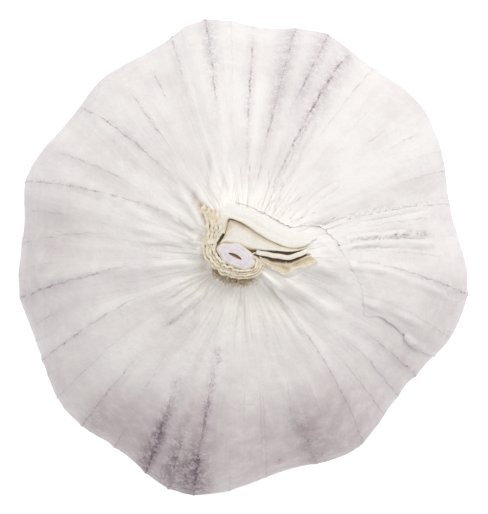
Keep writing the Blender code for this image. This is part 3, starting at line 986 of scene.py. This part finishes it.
# Draped leaves: lines across the leaf, from its hidden inner side over the cut edge to its foot on the skin.
UPPER_LEAF = (
    ((-2.5, 3.0, 46.3), (-2.2, 4.2, 46.3), (-1.8, 4.95, 46.3), (-0.5, 4.55, 46.4), (0.6, 3.9, 46.5),
     (2.1, 2.85, 46.55), (3.8, 1.9, 46.55), (5.9, 1.12, 46.5), (7.6, 1.1, 46.3), (8.6, 1.5, 45.9)),
    ((-2.55, 3.0, 46.9), (-2.3, 4.2, 47.0), (-1.95, 5.1, 47.0), (-0.6, 4.7, 46.95), (0.55, 4.05, 46.9),
     (2.05, 3.0, 46.9), (3.75, 2.02, 46.95), (5.9, 1.22, 46.95), (7.6, 1.2, 46.7), (8.7, 1.6, 46.3)),
    ((-2.75, 3.1, 46.95), (-2.65, 4.4, 47.05), (-2.3, 5.35, 46.95), (-0.7, 4.95, 46.95), (0.6, 4.3, 46.95),
     (2.15, 3.25, 46.95), (3.85, 2.3, 47.0), (5.9, 1.5, 46.95), (7.6, 1.5, 46.7), (8.9, 1.85, 46.2)),
    ((-2.85, 3.2, 46.75), (-2.9, 4.7, 46.85), (-2.75, 5.8, 46.6), (-1.1, 5.3, 46.62), (0.75, 4.7, 46.66),
     (2.4, 3.75, 46.7), (4.1, 2.8, 46.68), (6.0, 2.1, 46.62), (7.8, 2.05, 46.35), (9.2, 2.15, 45.8)),
    ((-2.9, 3.2, 46.7), (-3.0, 4.8, 46.8), (-2.9, 6.0, 46.5), (-1.0, 5.5, 46.35), (0.85, 4.9, 46.4),
     (2.5, 3.95, 46.42), (4.2, 3.0, 46.4), (6.05, 2.3, 46.36), (7.9, 2.2, 46.15), (9.3, 2.25, 45.6)),
    ((-2.95, 3.3, 46.2), (-3.15, 5.0, 46.2), (-3.3, 6.5, 45.8), (-1.2, 6.1, 46.1), (0.95, 5.35, 46.2),
     (2.6, 4.5, 46.2), (4.3, 3.5, 46.1), (6.1, 2.75, 45.95), (8.0, 2.6, 45.6), (9.6, 2.35, 45.0)),
    ((-3.0, 3.4, 45.6), (-3.2, 5.1, 45.6), (-3.5, 7.1, 44.9), (-1.3, 7.0, 45.2), (1.1, 6.2, 45.2),
     (2.9, 5.4, 45.1), (4.6, 4.4, 45.0), (6.3, 3.5, 45.0), (8.3, 3.2, 44.6), (10.0, 2.6, 44.0)),
)
POCKET_LEAF = (
    ((-2.5, 2.9, 46.5), (-2.1, 4.0, 46.5), (-1.8, 4.9, 46.45), (-0.5, 4.5, 46.5), (0.6, 3.9, 46.55),
     (2.1, 2.9, 46.7), (3.8, 1.93, 46.75), (5.9, 1.17, 46.8), (7.6, 1.12, 46.6), (8.5, 1.45, 46.2)),
    ((-2.7, 2.5, 46.6), (-2.0, 3.2, 46.55), (-1.25, 3.8, 46.55), (0.15, 3.3, 46.6), (1.3, 2.6, 46.7),
     (2.6, 1.95, 46.8), (4.0, 1.4, 46.9), (5.9, 0.98, 46.85), (7.5, 0.97, 46.6), (8.4, 1.3, 46.15)),
    ((-3.1, 1.9, 46.9), (-2.3, 2.15, 46.95), (-1.4, 2.05, 47.05), (-0.2, 1.8, 47.1), (0.9, 1.3, 47.1),
     (2.6, 0.98, 47.15), (4.2, 0.82, 47.2), (5.9, 0.68, 47.1), (7.3, 0.8, 46.85), (8.3, 1.25, 46.3)),
    ((-3.3, 1.4, 46.3), (-2.4, 1.5, 46.4), (-1.4, 1.4, 46.5), (-0.3, 1.1, 46.5), (0.8, 0.8, 46.4),
     (2.6, 0.8, 46.3), (4.2, 0.72, 46.2), (5.9, 0.58, 46.2), (7.3, 0.7, 46.1), (8.3, 1.15, 45.9)),
)
FRONT_LEAF = (
    ((2.1, 0.1, 46.2), (3.3, -0.3, 46.2), (4.4, -0.55, 46.2), (5.5, -0.7, 46.2), (6.4, -0.65, 46.2),
     (7.2, -0.35, 46.1), (8.1, 0.05, 46.0), (8.9, 0.35, 45.9)),
    ((2.1, -0.1, 46.95), (3.3, -0.55, 46.85), (4.4, -0.95, 46.6), (5.5, -1.1, 46.5), (6.4, -1.0, 46.55),
     (7.3, -0.62, 46.45), (8.2, -0.18, 46.35), (9.0, 0.1, 46.1)),
    ((2.2, -0.3, 47.0), (3.3, -0.85, 46.8), (4.4, -1.4, 46.3), (5.5, -1.75, 46.0), (6.25, -1.5, 46.5),
     (7.1, -1.02, 46.0), (8.3, -0.72, 45.9), (9.4, -0.25, 45.8)),
    ((2.3, -0.5, 47.1), (3.3, -1.15, 47.05), (4.4, -1.85, 46.75), (5.4, -2.35, 46.5), (6.3, -2.1, 46.75),
     (7.0, -1.5, 46.45), (8.3, -1.35, 46.3), (9.8, -0.65, 46.15)),
    ((2.5, -0.85, 46.7), (3.4, -1.55, 46.6), (4.5, -2.2, 46.25), (5.5, -2.75, 45.9), (6.45, -2.5, 46.0),
     (7.25, -1.95, 45.8), (8.5, -1.65, 45.5), (10.0, -0.9, 45.3)),
    ((2.7, -1.5, 45.3), (3.6, -2.3, 45.2), (4.8, -3.0, 44.6), (6.0, -3.6, 43.8), (7.2, -3.3, 43.5),
     (8.3, -2.8, 43.2), (9.5, -2.3, 42.7), (10.6, -1.1, 42.6)),
)
# A dark sheet low in the neck, seen through the gaps between the leaves: painted shade.
NECK_SHADE_LINING = (
    ((-3.0, 4.6, 46.2), (-0.4, 4.2, 46.3), (3.0, 2.2, 46.3), (6.0, 1.1, 46.2), (8.4, 1.2, 45.9)),
    ((-3.2, 1.2, 46.3), (-0.4, 1.0, 46.4), (3.0, 0.6, 46.4), (6.0, 0.2, 46.2), (8.4, 0.6, 46.0)),
    ((-2.4, -1.2, 46.3), (0.2, -1.9, 46.3), (3.0, -0.7, 46.3), (6.0, -0.7, 46.2), (8.4, 0.1, 45.9)),
)


WALL_LEVELS = 12
# How far apart the places of a wall's route are, and how strongly painted shade browns its foot deep in the
# neck.
WALL_STEP = 0.16
WALL_DEPTH = 0.8


def wall(name, route, thickness, cream, edge=1.0, ragged=0.16, round_top=False, seed=0):
    """A leaf base standing in the neck: a wall that follows its plan route, with a ragged cut edge. thickness
    has a value for each place of the route."""
    count = len(route)
    axis_x, axis_y = NECK_AXIS
    points = np.zeros((WALL_LEVELS + 1, count, 3))
    for c, (x, y, z) in enumerate(route):
        run = c * WALL_STEP
        rough = grain(run * 1.2, seed, 1.0) + 0.35 * grain(run * 4.0, seed, 2.0)
        rough += 1.6 * grain(run * 0.45, seed, 6.0)
        top = z + ragged * rough
        for r in range(WALL_LEVELS + 1):
            up = r / WALL_LEVELS
            pull = 1 - 0.05 * (1 - up) ** 1.3
            sway = 0.26 * grain(run * 0.8, up * 1.2, 3.0) + 0.1 * grain(run * 1.1, up * 2.0, seed + 4.0)
            points[r, c] = (
                NECK_SCALE * (axis_x + (x - axis_x) * pull + sway),
                NECK_SCALE * (axis_y + (y - axis_y) * pull + 0.8 * sway),
                NECK_FLOOR + (top - NECK_FLOOR) * up,
            )
    leaf = grid_object(name, points)
    up = np.repeat(np.arange(WALL_LEVELS + 1) / WALL_LEVELS, count)
    # The depth mark is painted shade, darkest at the foot of the wall.
    marks = {"edge": edge * smoothstep(up, 0.7, 0.98), "depth": WALL_DEPTH * smoothstep(up, 0.8, 0.3)}
    set_marks(leaf.data, cream=np.full(len(up), cream), **marks)
    thickest = thickness.max()
    thicken(leaf, float(thickest), 0.0, np.tile(thickness / thickest, WALL_LEVELS + 1))
    if round_top:
        subdivide(leaf, 2)
    else:
        modifier(leaf, "BEVEL", width=0.06 * MM, segments=2, limit_method="ANGLE")
    return applied(face_outwards(leaf))


def draped(name, lines, cream, edge, depth, thickness=0.12, rows=56, count=120, ragged=0.05, seed=0):
    """A thin leaf laid over lines that run along it. cream, edge and depth give those marks at each line;
    depth is painted shade.
    """
    along = np.array([smooth_curve(line, count) for line in lines])
    points = np.zeros((rows, count, 3))
    for c in range(count):
        column = smooth_curve(along[:, c], rows)
        for r in range(rows):
            rough = (grain(c * 0.09, r * 0.12, seed) + 0.5 * grain(c * 0.31, r * 0.22, seed + 3)) * ragged
            points[r, c] = column[r] + np.array((rough, rough, 0.9 * rough))
        points[:, c, :2] *= NECK_SCALE
    leaf = grid_object(name, points)
    gaps = np.linalg.norm(np.diff(along, axis=0), axis=2)
    reach = np.vstack((np.zeros(count), np.cumsum(gaps, axis=0)))
    for key, at in (("cream", cream), ("edge", edge), ("depth", depth)):
        columns = [np.interp(np.linspace(0, reach[-1, c], rows), reach[:, c], at) for c in range(count)]
        set_marks(leaf.data, **{key: np.array(columns).T.ravel()})
    thicken(leaf, thickness, -1.0)
    return applied(face_outwards(leaf))


CORE_OUTLINE = (
    (-3.5, 1.25), (-2.9, 1.7), (-1.75, 1.75), (-0.7, 1.75), (0.3, 1.1), (1.05, 0.5), (1.6, -0.4),
    (1.5, -1.25), (0.5, -1.75), (-0.7, -1.6), (-1.75, -1.25), (-2.7, -0.6), (-3.3, 0.25), (-3.6, 0.8),
)
CORE_SLIT = ((-2.0, 0.45), (-1.1, 0.1), (-0.25, -0.4))
CORE_TOP = 47.35
# Below its cut face, the core goes down as (share of its outline, height).
CORE_SIDE = ((1.01, 46.9), (1.0, 46.4), (0.98, 45.8), (0.97, NECK_FLOOR))
CORE_COLUMNS, CORE_RINGS, SLIT_STEPS = 120, 44, 40


def make_core(material):
    """The rolled innermost leaves, cut across: a low dome with a slit and the faint rings of its layers."""
    outline = smooth_curve(CORE_OUTLINE, CORE_COLUMNS, closed=True) * NECK_SCALE
    middle = outline.mean(axis=0)
    for c, t in enumerate(np.linspace(0, 2 * pi, CORE_COLUMNS, endpoint=False)):
        uneven = 1 + 0.035 * grain(2 * cos(t), 2 * sin(t), 3) + 0.02 * grain(5 * cos(t), 5 * sin(t), 8)
        outline[c] = middle + (outline[c] - middle) * uneven
    slit = smooth_curve(CORE_SLIT, SLIT_STEPS) * NECK_SCALE
    levels = [(r / CORE_RINGS, None) for r in range(1, CORE_RINGS + 1)] + list(CORE_SIDE)
    points = np.zeros((len(levels), CORE_COLUMNS, 3))
    slits, rims = [], []
    for i, (share, level) in enumerate(levels):
        for c in range(CORE_COLUMNS):
            x, y = middle + (outline[c] - middle) * share
            away = np.hypot(slit[:, 0] - x, slit[:, 1] - y)
            from_slit = float(np.min(away))
            along = float(np.argmin(away)) / (SLIT_STEPS - 1)
            half = 0.17 * (1 - abs(2 * along - 1) ** 2.5) + 0.03
            height = CORE_TOP + 0.16 * (1 - share**2) - 0.14 * smoothstep(share, 0.9, 1.0)
            height += 0.02 * sin(share * 26) * smoothstep(share, 0.3, 0.6) + 0.09 * grain(x * 1.6, y * 1.6, 5)
            height -= 0.45 * float(smoothstep(from_slit, half, half * 0.35))
            points[i, c] = (x, y, height if level is None else level)
            slits.append(float(smoothstep(from_slit, half * 1.5, half * 0.7)) if level is None else 0.0)
            rims.append(float(smoothstep(share, 0.86, 0.98)))
    core = face_outwards(grid_object("rolled_core", points, closed_round=True))
    set_marks(core.data, slit=slits, rim=rims)
    core.data.shade_smooth()
    finished(core, material, "dry_sheath", "neck_core")


def fibre_tree():
    """Short dry fibres standing out from a line, each bent and tapering, in random directions."""
    sizes = {"Count": "Int", "Length": "Float", "Thickness": "Float", "Seed": "Int"}
    tree, node, given = new_tree("dry_fibres", sizes)
    base = node("GeometryNodeMeshToCurve", (given["Geometry"],))
    spots = node("GeometryNodeCurveToPoints", {"Curve": base, "Count": given["Count"]}, mode="COUNT")
    vectors = []
    for low, high in (
        ((-0.5 * MM, -0.45 * MM, -0.35 * MM), (0.5 * MM, 0.45 * MM, 0.2 * MM)),
        ((-1.3, -1.3, -3.14), (1.3, 1.3, 3.14)),
    ):
        inputs = {0: low, 1: high, "Seed": given["Seed"]}
        vectors.append(node("FunctionNodeRandomValue", inputs, data_type="FLOAT_VECTOR"))
    jitter, turn = vectors
    spread = node(MOVE, {"Geometry": spots, "Offset": jitter})
    bend = {"Start": (0, 0, 0), "Middle": (0.25, 0.0, 0.5), "End": (0.75, 0.1, 0.62), "Resolution": 5}
    strand = node("GeometryNodeCurveQuadraticBezier", bend)
    along = node("GeometryNodeSplineParameter", output="Factor")
    taper = node(MATH, (1.15, along), operation="SUBTRACT")
    circle = {"Resolution": 5, "Radius": given["Thickness"]}
    section = node("GeometryNodeCurvePrimitiveCircle", circle, mode="RADIUS")
    swept = {"Curve": strand, "Profile Curve": section, "Scale": taper, "Fill Caps": True}
    fibre = node("GeometryNodeCurveToMesh", swept)
    size = node("FunctionNodeRandomValue", {2: 0.35, 3: 1.0, "Seed": given["Seed"]}, data_type="FLOAT")
    scale = product(node, size, given["Length"])
    placed = {"Points": spread, "Instance": fibre, "Rotation": turn, "Scale": scale}
    close_tree(node, node("GeometryNodeInstanceOnPoints", placed), given)
    return tree


CRUST_ROUTE = (
    (-4.2, -2.0, 45.6), (-2.9, -2.9, 45.7), (-1.6, -3.35, 45.7), (-0.2, -3.5, 45.7), (1.3, -3.3, 45.7),
)


def make_crust(material):
    """The crust of broken dry fibres under the neck's cut ring."""
    route = smooth_curve(CRUST_ROUTE, 30) * (NECK_SCALE, NECK_SCALE, 1)
    crust = mesh_object("neck_crust", route, [(i, i + 1) for i in range(len(route) - 1)])
    values = {"Material": material, "Count": 320, "Length": 0.9 * MM, "Thickness": 0.085, "Seed": 5}
    run_tree(crust, fibre_tree(), values)
    everywhere = np.ones(len(crust.data.vertices))
    # The depth mark darkens the fibres a little as painted shade.
    set_marks(crust.data, cream=everywhere, edge=everywhere, depth=0.35 * everywhere)
    finished(crust, material, "dry_sheath")


# The draped leaves: name, lines, CAD node, the cream, edge and depth marks at each line (depth is painted
# shade), raggedness and seed.
DRAPED_LEAVES = (
    (
        "upper_leaf", UPPER_LEAF, "upper_sheath",
        (1.0, 1.0, 0.3, 0.1, 0.4, 0.1, 0.1), (1.0, 1.0, 0.2, 0, 0.3, 0, 0), (0.6, 0.05, 0, 0, 0, 0, 0),
        0.05, 41,
    ),
    (
        "pocket_leaf", POCKET_LEAF, "folded_leaf",
        (1.0, 0.4, 0.2, 0.5), (1.0, 0.3, 0.3, 0), (0.35, 0, 0, 0.8), 0.05, 61,
    ),
    (
        "front_flap", FRONT_LEAF, "front_leaf",
        (0.8, 1.0, 1.0, 0.6, 0.15, 0.1), (0, 0.6, 1.0, 0.5, 0.05, 0), (1.0, 0.12, 0.16, 0, 0, 0), 0.12, 71,
    ),
)


def make_neck(sheath, core):
    make_core(core)
    inner, outer = smooth_curve(INNER_RING, 170), smooth_curve(OUTER_RING, 170)
    pitch = np.linalg.norm((outer - inner)[:, :2], axis=1) / (len(RING_LAYERS) - 1)
    for i, (name, cream, raised, *nodes) in enumerate(RING_LAYERS):
        route = inner + (outer - inner) * i / (len(RING_LAYERS) - 1) + (0, 0, raised)
        layer = wall(name, route, np.clip(0.8 * pitch, 0.2, 0.52), cream=cream, seed=i * 5 + 1)
        finished(layer, sheath, "dry_sheath", *nodes)
    route = smooth_curve(MIDDLE_BAND, 50)
    looks = {"cream": 0.25, "edge": 0.5, "ragged": 0.1, "round_top": True, "seed": 51}
    finished(wall("middle_band", route, np.full(len(route), 0.6), **looks), sheath, "dry_sheath")
    for name, lines, node, cream, edge, depth, ragged, seed in DRAPED_LEAVES:
        leaf = draped(name, lines, cream, edge, depth, ragged=ragged, seed=seed)
        finished(leaf, sheath, "dry_sheath", node)
    # The lining below is painted shade, dark all over where the gaps show it.
    marks = (1, 1, 1), (0, 0, 0), (1, 1, 1)
    shade_lining = draped("dry_lining", NECK_SHADE_LINING, *marks, thickness=0.08, rows=16, count=40, seed=81)
    finished(shade_lining, sheath, "dry_sheath")


# ---------------------------------------------------------------- the root plate

DISC_RADIUS = 7.6
DISC_COLUMNS, DISC_RINGS, DISC_LEVELS = 96, 26, 8
# Rings of trimmed roots as (radius, height, count).
ROOT_RINGS = ((7.7, 0.75, 34), (7.9, 1.35, 31), (6.9, 0.5, 26))


def root_tree():
    """Trimmed root ends on points, each leaning out from the middle and cut to its own length."""
    tree, node, given = new_tree("trimmed_roots", {"Length": "Float", "Thickness": "Float", "Seed": "Int"})
    cone = {"Vertices": 9, "Side Segments": 3, "Radius Top": 0.34, "Radius Bottom": 0.5, "Depth": 1.0}
    stub = node("GeometryNodeMeshCone", cone)
    x, y, up = node(SPLIT, (node(PLACE),)).node.outputs
    store = {"Geometry": stub, "Name": "root_end", "Value": up}
    tip = node("GeometryNodeStoreNamedAttribute", store, data_type="FLOAT", domain="POINT")
    wobble = node(NOISE, {"Scale": 2.2}, output="Color")
    wobble = node(VECTOR, (wobble, (0.5, 0.5, 0.5)), operation="SUBTRACT")
    offset = node(VECTOR, {0: wobble, 3: 0.35}, operation="SCALE")
    bent = node(MOVE, {"Geometry": tip, "Offset": offset})
    lean, size = [
        node("FunctionNodeRandomValue", {2: low, 3: high, "Seed": given["Seed"]}, data_type="FLOAT")
        for low, high in ((-0.5, 0.2), (0.6, 1.15))
    ]
    unit = node(VECTOR, (node(JOIN, (x, y)),), operation="NORMALIZE")
    aim = node(VECTOR, (unit, node(JOIN, {2: lean})))
    turned = node("FunctionNodeAlignEulerToVector", {"Vector": aim}, axis="Z")
    wide = product(node, size, given["Thickness"])
    scale = node(JOIN, (wide, wide, product(node, size, given["Length"])))
    placed = {"Points": given["Geometry"], "Instance": bent, "Rotation": turned, "Scale": scale}
    roots = node("GeometryNodeInstanceOnPoints", placed)
    close_tree(node, node("GeometryNodeSetShadeSmooth", {"Geometry": roots}), given)
    return tree


def make_root_plate(material):
    """The corky disc that the bulb rests on, with a worn rim."""
    points = np.zeros((DISC_RINGS + DISC_LEVELS, DISC_COLUMNS, 3))
    for r in range(DISC_RINGS + DISC_LEVELS):
        for c in range(DISC_COLUMNS):
            a = 2 * pi * c / DISC_COLUMNS
            uneven = 1 + 0.05 * grain(cos(a) * 2.0, sin(a) * 2.0, 8) + 0.02 * grain(cos(a) * 8, sin(a) * 8, 2)
            reach = DISC_RADIUS * uneven
            if r < DISC_RINGS:
                share = (r + 1) / DISC_RINGS
                reach = DISC_RADIUS * share * uneven
                height = 0.16 * max(grain(cos(a) * share * 5, sin(a) * share * 5, 3), 0)
                height = height * smoothstep(share, 1.0, 0.8) + 0.5 * float(smoothstep(share, 0.3, 0.0))
            else:
                up = (r - DISC_RINGS + 1) / DISC_LEVELS
                reach += 0.9 * sin(up * pi * 0.6)
                height = PLATE_TOP * up + 0.1 * grain(a * 6, up * 3, 1) * (1 - up)
            points[r, c] = (reach * cos(a), reach * sin(a), height)
    plate = face_outwards(grid_object("root_disc", points, closed_round=True))
    plate.data.shade_smooth()
    finished(plate, material, "root_tissue", "root_plate")


def make_roots(material):
    places = []
    for ring, (radius, height, count) in enumerate(ROOT_RINGS):
        for i in range(count):
            a = 2 * pi * (i + 0.35 * ring) / count + 0.08 * grain(i * 1.7, ring * 3.1)
            reach = radius + 0.25 * grain(i * 2.3, ring * 5.0)
            places.append((reach * cos(a), reach * sin(a), height + 0.1 * grain(i, ring)))
    roots = mesh_object("root_stubs", places)
    values = {"Material": material, "Length": 1.5 * MM, "Thickness": 0.85 * MM, "Seed": 11}
    run_tree(roots, root_tree(), values)
    places = vertex_array(roots.data)
    places[:, 2] = np.clip(places[:, 2], 0.03, PLATE_TOP + 0.5)
    roots.data.vertices.foreach_set("co", (places * MM).ravel())
    finished(roots, material, "root_tissue")


# ---------------------------------------------------------------- studio


def make_studio():
    """A glowing pale table, one large soft light from behind the bulb and a soft grey room."""
    half = 2000
    corners = ((-half, -half, 0), (half, -half, 0), (half, half, 0), (-half, half, 0))
    table = mesh_object("table", corners, faces=[(0, 1, 2, 3)])
    material, _, shader = new_material("opal_table")
    glow = {"Emission Color": (1, 1, 1, 1), "Emission Strength": 0.85}
    connect(shader, {"Base Color": linear("#A0A0A0"), "Roughness": 0.9} | glow)
    table.data.materials.append(material)

    lamp = bpy.data.lights.new("softbox", "AREA")
    lamp.shape = "RECTANGLE"
    lamp.size, lamp.size_y = 0.9, 0.7
    lamp.energy = 6.0
    softbox = new_object("softbox", lamp)
    softbox.location = (0.2, 0.42, 0.95)
    softbox.rotation_euler = (HEART - softbox.location).to_track_quat("-Z", "Y").to_euler()

    world = bpy.data.worlds.new("room")
    bpy.context.scene.world = world
    world.use_nodes = True
    connect(world.node_tree.nodes["Background"], {"Color": (1, 1, 1, 1), "Strength": 0.55})


def make_camera():
    """Looks straight down on the neck from far off, so that the outline is nearly free of perspective."""
    camera = bpy.data.cameras.new("camera")
    camera.lens, camera.sensor_width = 300, 36
    camera.clip_start, camera.clip_end = 0.05, 10
    view_height = 68.67
    girth_level = 18.0
    distance = view_height * camera.lens / camera.sensor_width
    eye = new_object("camera", camera)
    eye.location = (0.07 * MM, -0.07 * MM, (girth_level + distance) * MM)
    bpy.context.scene.camera = eye
    bpy.context.scene.view_settings.view_transform = "Standard"


# ---------------------------------------------------------------- everything together


def main():
    film, presser, ribber = papery_skin(), press_tree(), vein_tree()

    skin = make_bulb_skin(film)
    bare = Surface(skin)
    skin_veins = vein_routes(bare, BODY_VEINS, range(112, 334, 9), 4)
    press(skin, presser, film, bare, skin_veins + fold_routes(bare, SKIN_FOLDS))
    finished(skin, film, "papery_skin", "bulb_body")
    pressed = Surface(skin)
    make_veins("skin_veins", skin, pressed, skin_veins, 4, ribber, film)

    leaf = make_torn_leaf(pressed)
    covered = Surface(leaf, pressed)
    leaf_veins = vein_routes(covered, LEAF_VEINS, range(-20, 104, 9), 9)
    press(leaf, presser, film, covered, leaf_veins + fold_routes(covered, LEAF_FOLDS))
    finished(leaf, film, "papery_skin", "torn_outer_leaf")
    make_veins("leaf_veins", leaf, Surface(leaf, pressed), leaf_veins, 9, ribber, film)

    sheath, cork = dry_sheath(), root_cork()
    make_neck(sheath, cut_core())
    make_crust(sheath)
    make_root_plate(cork)
    make_roots(cork)
    make_studio()
    make_camera()


main()
